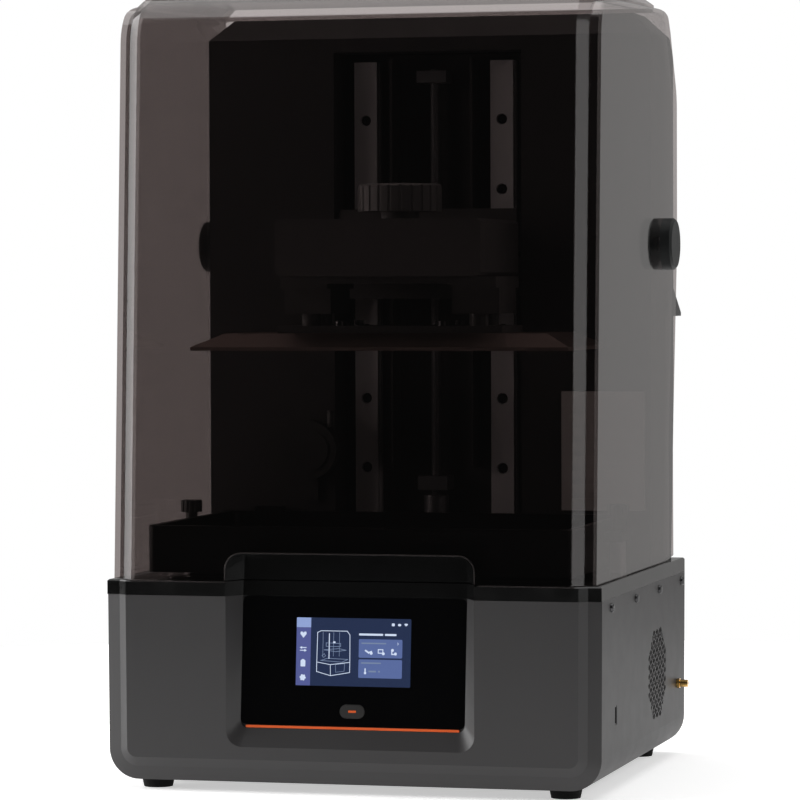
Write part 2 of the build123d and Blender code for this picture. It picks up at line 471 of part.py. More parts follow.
# ---------------------------------------------------------------- lifting carriage and platform
def make_carriage():
    blocks = []
    for side in (-1, 1):
        for z in (398, 437):
            x = side * RAIL_X
            car = block(x - 22, x + 22, 262, 289.5, z, z + 34)
            car -= block(x - RAIL_W / 2 - 0.4, x + RAIL_W / 2 + 0.4, PLATE_Y - RAIL_H - 0.4, 300, z - 1, z + 35)
            blocks.append(car)
    add("slide_blocks", group(blocks))
    plate = block(-78, 78, 255, 261.95, 396, 473)
    add("carriage_plate", plate)
    nut = rod_z(14, 425, 455, 0, SCREW_Y) & block(-12, 12, 264, 291, 420, 460)
    nut = nut.fuse(block(-12, 12, 262, 272, 425, 455)) - rod_z(SCREW_R + RUNNING, 420, 460, 0, SCREW_Y)
    add("lead_nut", nut)
    head = block(-ARM_HALF, ARM_HALF, ARM_FRONT, ARM_REAR, ARM_LOW, ARM_HIGH)
    head = chamfer(head.edges().filter_by(Axis.Y), 3)
    neck = block(-NECK_HALF, NECK_HALF, ARM_REAR - 1, 254.95, ARM_LOW, ARM_HIGH - 2)
    arm = head.fuse(neck)
    arm -= block(-ARM_HALF + 7, ARM_HALF - 7, ARM_FRONT + 7, ARM_REAR + 20, ARM_LOW - 1, ARM_HIGH - 10)
    arm = arm.fuse(block(-30, 30, CENTRE_Y - 30, CENTRE_Y + 30, ARM_LOW + 10, ARM_HIGH - 5))
    arm -= rod_z(8 + RUNNING, ARM_LOW + 20, ARM_HIGH + 1, 0, CENTRE_Y)
    add("lift_arm", arm)
    knob = rod_z(KNOB_R, KNOB_LOW, KNOB_HIGH, 0, CENTRE_Y)
    knob = chamfer(knob.edges().sort_by(Axis.Z)[-1], 2)
    for i in range(24):
        angle = radians(15 * i)
        knob -= rod_z(1.9, KNOB_LOW - 1, KNOB_HIGH + 1, (KNOB_R + 0.9) * cos(angle),
                      CENTRE_Y + (KNOB_R + 0.9) * sin(angle))
    knob = knob.fuse(rod_z(16, ARM_HIGH + 0.4, KNOB_LOW + 1, 0, CENTRE_Y), rod_z(8, 440, KNOB_LOW + 1, 0, CENTRE_Y))
    add("lock_knob", knob)

    low = [(-PLATFORM_X, PLATFORM_Y0), (PLATFORM_X, PLATFORM_Y0), (PLATFORM_X, PLATFORM_Y1),
           (-PLATFORM_X, PLATFORM_Y1)]
    slab = prism_z(low, PLATFORM_LOW, PLATFORM_LOW + 3)
    s = PLATFORM_SLOPE
    foot = Plane.XY.offset(PLATFORM_LOW + 3) * make_face(Polyline(*low, close=True))
    peak = Plane.XY.offset(PLATFORM_HIGH) * make_face(Polyline(
        (-PLATFORM_X + s, PLATFORM_Y0 + s), (PLATFORM_X - s, PLATFORM_Y0 + s),
        (PLATFORM_X - s, PLATFORM_Y1 - s), (-PLATFORM_X + s, PLATFORM_Y1 - s), close=True))
    roof = loft([foot.faces()[0], peak.faces()[0]], ruled=True)
    add("platform_plate", slab.fuse(roof))
    yoke = block(-92, 92, 118, 202, 405, ARM_LOW - 0.4)
    yoke -= block(-52, 52, 110, 210, 400, 409)
    legs = [block(side * 72 - 20, side * 72 + 20, 130, 190, 384, 406) for side in (-1, 1)]
    base = block(-96, 96, 122, 198, PLATFORM_HIGH + 0.05, PLATFORM_HIGH + 6)
    posts = [rod_z(8, PLATFORM_HIGH + 5, 385, side * 72, y) for side in (-1, 1) for y in (142, 178)]
    add("platform_yoke", yoke.fuse(base, *legs, *posts))
    bolts = []
    for side in (-1, 1):
        for y in (130, 190):
            bolt = rod_z(4, PLATFORM_HIGH + 6.05, PLATFORM_HIGH + 10, side * 44, y)
            bolts.append(bolt - rod_z(2, PLATFORM_HIGH + 8, PLATFORM_HIGH + 11, side * 44, y))
    add("platform_bolts", group(bolts))


def make_vat():
    body = block(-VAT_X, VAT_X, VAT_Y0, VAT_Y1, VAT_LOW + 2, VAT_HIGH)
    body = fillet(body.edges().filter_by(Axis.Z), 6)
    inner = block(-VAT_X + VAT_WALL, VAT_X - VAT_WALL, VAT_Y0 + VAT_WALL, VAT_Y1 - VAT_WALL, 160, 230)
    inner = fillet(inner.edges().filter_by(Axis.Z), 10)
    body -= inner
    body = body.fuse(block(-VAT_X + 3, VAT_X - 3, VAT_Y0 + 3, VAT_Y1 - 3, VAT_LOW + 2, VAT_LOW + 8)
                     - block(-LCD_X - 8, LCD_X + 8, LCD_Y0 - 12, VAT_Y1 - 8.5, 160, 230))
    ears = [block(side * 183.5 - 8.5, side * 183.5 + 8.5, THUMB_Y - 22, THUMB_Y + 22, 196, 204)
            for side in (-1, 1)]
    filler = block(-151, -127, VAT_Y1 - 9, VAT_Y1 + 3, 207, 217)
    body = body.fuse(filler, *ears)
    for x in (-THUMB_X, THUMB_X):
        body -= rod_z(3 + RUNNING, 190, 210, x, THUMB_Y)
    add("vat_body", body)
    frame = block(-LCD_X - 16, LCD_X + 16, LCD_Y0 - 20, VAT_Y1 - 4, VAT_LOW - 1, VAT_LOW + 1.95)
    frame -= block(-LCD_X - 5, LCD_X + 5, LCD_Y0 - 9, VAT_Y1 - 14, 160, 230)
    add("film_frame", frame)
    add("vat_film", block(-LCD_X - 7.5, LCD_X + 7.5, LCD_Y0 - 11.5, VAT_Y1 - 9, VAT_LOW + 2.0, VAT_LOW + 2.4))
    for side, name in ((-1, "left"), (1, "right")):
        x = side * THUMB_X
        head = rod_z(THUMB_R, 216, 226, x, THUMB_Y)
        for i in range(12):
            angle = radians(30 * i)
            head -= rod_z(1.3, 215, 227, x + (THUMB_R + 0.5) * cos(angle), THUMB_Y + (THUMB_R + 0.5) * sin(angle))
        head = head.fuse(rod_z(5, 204.3, 217, x, THUMB_Y), rod_z(3, DECK_TOP + 2.5, 217, x, THUMB_Y))
        add(f"thumb_screw_{name}", head)
    posts = [rod_z(6.5, DECK_TOP + 0.05, 195.6, x, THUMB_Y) - rod_z(3.3, DECK_TOP + 1.5, 200, x, THUMB_Y)
             for x in (-THUMB_X, THUMB_X)]
    add("vat_posts", group(posts))


# ---------------------------------------------------------------- hood
def hood_side(out):
    """Foot and top corner of the hood's front, and the roof's slope, moved outwards by out."""
    rake, slope = tan(radians(HOOD_RAKE)), tan(radians(ROOF_SLOPE))
    front_foot = HOOD_FRONT_Y - out
    front_top = front_foot + (HOOD_SHOULDER_Z - HOOD_BOTTOM) * rake
    top_front = HOOD_SHOULDER_Z + out * BAND_LIFT
    return front_foot, front_top, top_front, slope


def hood_face(out, end_y, x):
    """Side face with the rolled front edge, closed at the rear by the hood's rear outline."""
    front_foot, front_top, top_front, slope = hood_side(out)
    rear_top = top_front + (end_y - front_top) * slope
    roof_end = [(end_y, rear_top)]
    tail = [(317, 624), (346, 570), (346, 440), (325, 275), (326.5, 171.2 + 2.6)]
    under = [(300, 171), (HINGE_Y, HOOD_BOTTOM)]
    points = [(front_foot, HOOD_BOTTOM), (front_top, top_front)] + roof_end + tail + under
    outline = make_face(Polyline(*points, close=True))
    corner = outline.vertices().sort_by_distance((front_top, top_front))[0]
    outline = fillet(corner, ROOF_ROLL + out)
    for y, z, r in ((346, 570, 40), (346, 440, 120)):
        corner = outline.vertices().sort_by_distance((y, z))[0]
        outline = fillet(corner, r)
    return Plane(origin=(x, 0, 0), x_dir=(0, 1, 0), z_dir=(1, 0, 0)) * outline


def hood_block(inset):
    """Hood without its raised band: side outline crossed with a round-cornered front outline."""
    half = HOOD_HALF - inset
    side = extrude(hood_face(-inset, 302, -half), amount=2 * half)
    slope = radians(ROOF_SLOPE)
    top = HOOD_SHOULDER_Z - inset
    start = Vector(0, -60, 0)
    lift = (start.Y - (HOOD_FRONT_Y + 24)) * tan(slope)
    run = Vector(0, cos(slope), sin(slope))
    section = make_face(Polyline((-half, 0), (half, 0), (half, top + lift), (-half, top + lift), close=True))
    upper = section.vertices().sort_by(Axis.Y)[-2:]
    section = fillet(upper, ROOF_CORNER - inset)
    plane = Plane(origin=start, x_dir=(1, 0, 0), z_dir=-run)
    prism = extrude(plane * section, amount=-480)
    return side & prism


def band(out, foot_out, shrink):
    """Raised centre band over the front and the roof, with bevelled edges."""
    half, foot = RIBBON_HALF - shrink, RIBBON_FOOT - shrink
    flat = extrude(band_face(out, -half), amount=2 * half)
    edges = []
    for side in (-1, 1):
        a = band_face(out, side * half).faces()[0]
        b = band_face(foot_out, side * foot).faces()[0]
        edges.append(loft([a, b], ruled=True))
    return flat.fuse(*edges)


def band_face(out, x):
    """Side outline of the raised band, cut away behind and below."""
    front_foot, front_top, top_front, slope = hood_side(out)
    end_y = 292.0
    rear_top = top_front + (end_y - front_top) * slope
    points = [(front_foot, HOOD_BOTTOM), (front_top, top_front), (end_y - out, rear_top),
              (end_y + 3, rear_top - out - 6), (end_y - 14, rear_top - out - 40), (90, HOOD_BOTTOM)]
    outline = make_face(Polyline(*points, close=True))
    corner = outline.vertices().sort_by_distance((front_top, top_front))[0]
    outline = fillet(corner, ROOF_ROLL + max(out, 0))
    return Plane(origin=(x, 0, 0), x_dir=(0, 1, 0), z_dir=(1, 0, 0)) * outline


def make_hood():
    outer = hood_block(0).fuse(band(RIBBON_OUT, 3.0, 0))
    inner = hood_block(HOOD_WALL).fuse(band(RIBBON_OUT - HOOD_WALL, 3.0 - HOOD_WALL, 1.5))
    rear_gap = block(-HOOD_HALF + HOOD_WALL, HOOD_HALF - HOOD_WALL, 290, 400, 150, 622)
    floor_gap = block(-HOOD_HALF + HOOD_WALL, HOOD_HALF - HOOD_WALL, 12, 340, 150, 200)
    roof_rear = block(-HOOD_HALF + HOOD_WALL, HOOD_HALF - HOOD_WALL, 300, 400, 150, 700)
    hood = outer - inner - rear_gap - floor_gap - roof_rear
    swing = rod_x(HINGE_Z - HOOD_BOTTOM, -220, 220, HINGE_Y, HINGE_Z)
    behind = block(-220, 220, HINGE_Y, 400, 150, HINGE_Z)
    hood -= behind - swing
    pocket = recess(3.0, 3.0) & block(-220, 220, FACE_Y + 2, 60, HOOD_BOTTOM, 230)
    hood = hood.fuse(pocket) - recess()
    for side in (-1, 1):
        hood -= rod_x(HINGE_PIN_R + RUNNING, side * 200 - 10, side * 200 + 10, HINGE_Y, HINGE_Z)
    add("hood_shell", hood)
    caps = []
    for side in (-1, 1):
        near, far = side * (HOOD_HALF + 0.05), side * HINGE_CAP_OUT
        cap = rod_x(HINGE_CAP_R, min(near, far), max(near, far), HINGE_Y, HINGE_Z)
        outer_edge = cap.edges().filter_by(GeomType.CIRCLE).sort_by(Axis.X)[-1 if side > 0 else 0]
        cap = chamfer(outer_edge, 2.0)
        deep = side * 206.0
        cap -= rod_x(HINGE_PIN_R + RUNNING, min(side * 199, deep), max(side * 199, deep), HINGE_Y, HINGE_Z)
        caps.append(cap)
    add("hinge_caps", group(caps))


def write():
    """Move each node to the packed frame and write its STEP file."""
    os.makedirs("parts", exist_ok=True)
    for node, shape in parts.items():
        placed = Pos(0, -MIDDLE_Y, 0) * shape
        placed.label = node
        export_step(placed, f"parts/{node}.step")


make_base()
make_deck()
make_display()
make_electronics()
make_tower()
make_carriage()
make_vat()
make_hood()
write()
print(len(parts), "nodes")
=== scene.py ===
"""Looks of the resin printer: materials on the CAD frame, detailed replacement pieces, studio and camera."""
import json
import math

import bmesh
import bpy
from mathutils import Matrix, Vector


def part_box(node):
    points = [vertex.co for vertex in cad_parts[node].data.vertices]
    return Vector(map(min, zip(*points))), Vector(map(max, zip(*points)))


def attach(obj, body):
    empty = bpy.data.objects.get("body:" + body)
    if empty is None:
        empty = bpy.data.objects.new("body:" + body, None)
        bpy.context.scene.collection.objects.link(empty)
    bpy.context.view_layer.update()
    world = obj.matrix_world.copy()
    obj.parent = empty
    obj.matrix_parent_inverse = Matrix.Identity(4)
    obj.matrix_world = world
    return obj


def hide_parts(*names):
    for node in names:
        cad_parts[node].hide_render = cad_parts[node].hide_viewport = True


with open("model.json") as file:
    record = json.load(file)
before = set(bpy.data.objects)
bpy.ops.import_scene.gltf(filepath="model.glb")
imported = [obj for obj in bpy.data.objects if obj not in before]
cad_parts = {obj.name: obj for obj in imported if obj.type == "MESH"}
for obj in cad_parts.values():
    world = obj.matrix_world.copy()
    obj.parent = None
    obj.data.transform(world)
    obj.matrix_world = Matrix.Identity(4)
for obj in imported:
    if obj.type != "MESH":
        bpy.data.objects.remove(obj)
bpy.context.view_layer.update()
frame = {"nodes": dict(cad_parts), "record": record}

MM = 0.001
MIDDLE_Y = 194.0             # the model's Y, in mm, at the row frame's Y = 0
GLASS_FOOT_Z, GLASS_FOOT_Y, GLASS_SLOPE = 52.0, 2.0, 0.0902
SCREEN_WIDTH, SCREEN_TOP, SCREEN_HEIGHT = 95.0, 141.0, 54.3
WHITE = (1.0, 1.0, 1.0)


def at(x, y, z):
    """A point given in the CAD model's millimetres, in the row frame's metres."""
    return Vector((x * MM, (y - MIDDLE_Y) * MM, z * MM))


# ---------------------------------------------------------------- materials
def new_material(name):
    mat = bpy.data.materials.new(name)
    mat.use_nodes = True
    mat.node_tree.nodes.clear()
    return mat, mat.node_tree.nodes, mat.node_tree.links


def scaled(colour, factor):
    return tuple(min(1.0, c * factor) for c in colour) + (1.0,)


def noise(nodes, links, coords, scale, detail=3.0, roughness=0.5, stretch=None):
    """Noise in object space; stretch squeezes the pattern along each axis."""
    node = nodes.new("ShaderNodeTexNoise")
    node.inputs["Scale"].default_value = scale
    node.inputs["Detail"].default_value = detail
    node.inputs["Roughness"].default_value = roughness
    source = coords
    if stretch:
        mapping = nodes.new("ShaderNodeMapping")
        mapping.inputs["Scale"].default_value = stretch
        links.new(coords, mapping.inputs["Vector"])
        source = mapping.outputs["Vector"]
    links.new(source, node.inputs["Vector"])
    return node.outputs["Fac"]


def remap(nodes, links, value, low, high):
    node = nodes.new("ShaderNodeMapRange")
    node.inputs["From Min"].default_value = 0.3
    node.inputs["From Max"].default_value = 0.7
    node.inputs["To Min"].default_value = low
    node.inputs["To Max"].default_value = high
    links.new(value, node.inputs["Value"])
    return node.outputs["Result"]


def surface(name, colour, rough, metal=0.0, ior=1.5, coat=0.0, coat_rough=0.05, vary=0.08, patch=14.0,
            grain=1400.0, grain_height=0.00004, rough_vary=0.04, stretch=None, emission=None, strength=0.0):
    """Opaque finish with slow colour variation, uneven gloss and a fine surface grain."""
    mat, nodes, links = new_material(name)
    out = nodes.new("ShaderNodeOutputMaterial")
    bsdf = nodes.new("ShaderNodeBsdfPrincipled")
    links.new(bsdf.outputs["BSDF"], out.inputs["Surface"])
    coords = nodes.new("ShaderNodeTexCoord").outputs["Object"]
    slow = noise(nodes, links, coords, patch)
    mix = nodes.new("ShaderNodeMix")
    mix.data_type = "RGBA"
    mix.inputs[6].default_value = scaled(colour, 1 - vary)
    mix.inputs[7].default_value = scaled(colour, 1 + vary)
    links.new(slow, mix.inputs[0])
    links.new(mix.outputs[2], bsdf.inputs["Base Color"])
    uneven = noise(nodes, links, coords, patch * 4, stretch=stretch)
    gloss = remap(nodes, links, uneven, max(0.0, rough - rough_vary), rough + rough_vary)
    links.new(gloss, bsdf.inputs["Roughness"])
    fine = noise(nodes, links, coords, grain, detail=2.0, stretch=stretch)
    bump = nodes.new("ShaderNodeBump")
    bump.inputs["Strength"].default_value = 1.0
    bump.inputs["Distance"].default_value = grain_height
    links.new(fine, bump.inputs["Height"])
    links.new(bump.outputs["Normal"], bsdf.inputs["Normal"])
    bsdf.inputs["Metallic"].default_value = metal
    bsdf.inputs["IOR"].default_value = ior
    bsdf.inputs["Coat Weight"].default_value = coat
    bsdf.inputs["Coat Roughness"].default_value = coat_rough
    if emission:
        bsdf.inputs["Emission Color"].default_value = (*emission, 1.0)
        bsdf.inputs["Emission Strength"].default_value = strength
    return mat


def see_through(name, tint, edge_gloss=0.96, rough=0.01, cloud=0.03):
    """Thin clear plastic: tinted straight-through light under a mirror that grows towards grazing angles."""
    mat, nodes, links = new_material(name)
    out = nodes.new("ShaderNodeOutputMaterial")
    clear = nodes.new("ShaderNodeBsdfTransparent")
    coords = nodes.new("ShaderNodeTexCoord").outputs["Object"]
    mix = nodes.new("ShaderNodeMix")
    mix.data_type = "RGBA"
    mix.inputs[6].default_value = scaled(tint, 1 - cloud)
    mix.inputs[7].default_value = scaled(tint, 1 + cloud)
    links.new(noise(nodes, links, coords, 3.0), mix.inputs[0])
    links.new(mix.outputs[2], clear.inputs["Color"])
    mirror = nodes.new("ShaderNodeBsdfGlossy")
    mirror.inputs["Roughness"].default_value = rough
    mirror.inputs["Color"].default_value = (1.0, 1.0, 1.0, 1.0)
    facing = nodes.new("ShaderNodeLayerWeight")
    facing.inputs["Blend"].default_value = 0.5
    power = nodes.new("ShaderNodeMath")
    power.operation = "POWER"
    power.inputs[1].default_value = 5.0
    links.new(facing.outputs["Facing"], power.inputs[0])
    share = nodes.new("ShaderNodeMapRange")
    share.inputs["To Min"].default_value = 0.04
    share.inputs["To Max"].default_value = edge_gloss
    links.new(power.outputs[0], share.inputs["Value"])
    blend = nodes.new("ShaderNodeMixShader")
    links.new(share.outputs["Result"], blend.inputs[0])
    links.new(clear.outputs[0], blend.inputs[1])
    links.new(mirror.outputs[0], blend.inputs[2])
    links.new(blend.outputs[0], out.inputs["Surface"])
    return mat


STEEL_LINES = (1.0, 1.0, 0.04)
MATERIALS = {
    "housing_grey": surface("housing_grey", (0.0175, 0.0162, 0.0167), 0.50, ior=1.42, grain=900,
                            grain_height=0.00003, vary=0.03, rough_vary=0.015),
    "panel_grey": surface("panel_grey", (0.0225, 0.0211, 0.0217), 0.42, grain=1600, grain_height=0.00002,
                          vary=0.03, rough_vary=0.015),
    "deck_black": surface("deck_black", (0.004, 0.004, 0.004), 0.16, ior=1.4, grain=1600,
                          grain_height=0.00001),
    "tinted_acrylic": see_through("tinted_acrylic", (0.572, 0.540, 0.534), rough=0.05),
    "cap_grey": surface("cap_grey", (0.012, 0.0135, 0.0135), 0.50, ior=1.3, grain=1200, grain_height=0.00003),
    "tower_black": surface("tower_black", (0.020, 0.0185, 0.0188), 0.48, grain=1000, grain_height=0.00004),
    "rear_metal": surface("rear_metal", (0.050, 0.049, 0.049), 0.48, grain=900, grain_height=0.00003),
    "dark_anodised": surface("dark_anodised", (0.005, 0.005, 0.0055), 0.36, metal=0.6,
                             stretch=(1.0, 0.06, 1.0)),
    "arm_black": surface("arm_black", (0.056, 0.053, 0.053), 0.46, metal=0.1, grain=1100,
                         grain_height=0.00004),
    "rail_steel": surface("rail_steel", (0.80, 0.80, 0.81), 0.50, metal=0.40, stretch=STEEL_LINES, vary=0.12),
    "bearing_steel": surface("bearing_steel", (0.15, 0.15, 0.155), 0.42, metal=0.6, stretch=(0.05, 1.0, 1.0)),
    "platform_aluminium": surface("platform_aluminium", (0.19, 0.145, 0.13), 0.46, metal=0.9, grain=2200,
                                  grain_height=0.00005),
    "light_aluminium": surface("light_aluminium", (0.60, 0.60, 0.62), 0.32, metal=1.0,
                               stretch=(0.05, 1.0, 1.0)),
    "black_fasteners": surface("black_fasteners", (0.070, 0.070, 0.072), 0.30, metal=1.0),
    "knob_black": surface("knob_black", (0.035, 0.035, 0.035), 0.46, grain=1500, grain_height=0.00003),
    "film_clear": see_through("film_clear", (0.93, 0.95, 0.97), rough=0.03),
    "black_glass": surface("black_glass", (0.0012, 0.0012, 0.0014), 0.03, rough_vary=0.01, grain_height=0.0,
                           ior=1.42),
    "screen": surface("screen", (0.010, 0.012, 0.020), 0.08, coat=1.0, coat_rough=0.03, grain_height=0.0),
    # accent_orange carries a faint painted glow: the orange strip is no lamp, but its emission makes it shine
    # a little by itself
    "accent_orange": surface("accent_orange", (0.62, 0.100, 0.024), 0.25, coat=0.5, grain_height=0.00001,
                             emission=(0.95, 0.16, 0.035), strength=0.04),
    "button_grey": surface("button_grey", (0.012, 0.011, 0.0105), 0.38, grain_height=0.00001),
    "inner_plastic": surface("inner_plastic", (0.022, 0.022, 0.022), 0.45, grain_height=0.00004),
    "filter_white": surface("filter_white", (0.62, 0.60, 0.585), 0.50, grain_height=0.00005),
    "circuit_green": surface("circuit_green", (0.015, 0.090, 0.040), 0.35, coat=0.4),
    "motor_black": surface("motor_black", (0.028, 0.028, 0.028), 0.40),
    "supply_steel": surface("supply_steel", (0.50, 0.50, 0.51), 0.36, metal=1.0, patch=60.0, vary=0.14),
    "brass_gold": surface("brass_gold", (0.80, 0.50, 0.16), 0.20, metal=1.0, grain_height=0.00001),
    "foot_rubber": surface("foot_rubber", (0.003, 0.003, 0.003), 0.80, ior=1.25, grain=700,
                           grain_height=0.00008),
}


def glowing(name, colour, strength):
    return surface(name, scaled(colour, 0.2)[:3], 0.10, coat=1.0, coat_rough=0.03, vary=0.05,
                   grain_height=0.0, emission=colour, strength=strength)


SCREEN_BACK = glowing("screen_back", (0.017, 0.027, 0.066), 1.0)
SCREEN_CARD = glowing("screen_card", (0.090, 0.130, 0.300), 1.0)
SCREEN_SIDE = glowing("screen_side", (0.080, 0.095, 0.260), 1.0)
SCREEN_TILE = glowing("screen_tile", (0.250, 0.330, 0.580), 1.0)
SCREEN_LINE = glowing("screen_line", (0.560, 0.640, 0.800), 1.0)
SCREEN_DIM = glowing("screen_dim", (0.160, 0.210, 0.320), 1.0)


LIGHTER_KNOB = surface("knob_grey", (0.12, 0.12, 0.12), 0.46, grain=1500, grain_height=0.00003)
LIP_GREY = surface("lip_grey", (0.034, 0.032, 0.032), 0.22, grain_height=0.0)
OWN_FINISH = {"lock_knob": LIGHTER_KNOB, "back_plate": MATERIALS["tower_black"]}


def dress_frame():
    """Gives every CAD node the finish of its record slot."""
    for part in frame["record"]["subparts"]:
        obj = frame["nodes"][part["node"]]
        finish = OWN_FINISH.get(part["node"], MATERIALS[part["material_slot"]])
        if obj.material_slots:
            for slot in obj.material_slots:
                slot.material = finish
        else:
            obj.data.materials.append(finish)


# ---------------------------------------------------------------- pieces
def piece(name, bm, material, body, replaces=(), smooth=False):
    """Turns a bmesh in row-frame metres into a named piece that rides on a body."""
    bmesh.ops.remove_doubles(bm, verts=bm.verts, dist=1e-7)
    bmesh.ops.recalc_face_normals(bm, faces=bm.faces)
    mesh = bpy.data.meshes.new(name)
    bm.to_mesh(mesh)
    bm.free()
    for polygon in mesh.polygons:
        polygon.use_smooth = smooth
    mesh.materials.append(material)
    obj = bpy.data.objects.new(name, mesh)
    bpy.context.scene.collection.objects.link(obj)
    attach(obj, body)
    if replaces:
        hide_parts(*replaces)
    return obj


def screen_point(u, v, lift):
    """A point u right and v down from the screen's top left corner, lifted off the glass, all in mm."""
    z = SCREEN_TOP - v
    y = GLASS_FOOT_Y + (z - GLASS_FOOT_Z) * GLASS_SLOPE
    return at(u - SCREEN_WIDTH / 2, y - lift, z)


def slab(bm, outline, low, high):
    """A closed thin plate on the screen, from an outline of (u, v) points."""
    back = [bm.verts.new(screen_point(u, v, low)) for u, v in outline]
    front = [bm.verts.new(screen_point(u, v, high)) for u, v in outline]
    bm.faces.new(back)
    bm.faces.new(reversed(front))
    count = len(outline)
    for i in range(count):
        j = (i + 1) % count
        bm.faces.new((back[i], back[j], front[j], front[i]))


def rounded(u0, v0, u1, v1, radius, steps=5):
    points = []
    corners = ((u1 - radius, v0 + radius, -90), (u1 - radius, v1 - radius, 0),
               (u0 + radius, v1 - radius, 90), (u0 + radius, v0 + radius, 180))
    for cu, cv, start in corners:
        for i in range(steps + 1):
            angle = math.radians(start + 90 * i / steps)
            points.append((cu + radius * math.cos(angle), cv + radius * math.sin(angle)))
    return points


def disc(u, v, radius, steps=20, squash=1.0):
    """Outline of a circle, flattened along v by squash."""
    points = []
    for i in range(steps):
        turn = 2 * math.pi * i / steps
        points.append((u + radius * math.cos(turn), v + radius * squash * math.sin(turn)))
    return points


def stroke(points, width):
    """Outlines of the straight runs of a drawn line, one box a run."""
    runs = []
    for (u0, v0), (u1, v1) in zip(points, points[1:]):
        length = math.hypot(u1 - u0, v1 - v0)
        du, dv = (u1 - u0) / length * width / 2, (v1 - v0) / length * width / 2
        runs.append([(u0 - du - dv, v0 - dv + du), (u1 + du - dv, v1 + dv + du),
                     (u1 + du + dv, v1 + dv - du), (u0 - du + dv, v0 - dv - du)])
    return runs


BACK_LIFT, CARD_LIFT, LINE_LIFT = 0.06, 0.12, 0.18


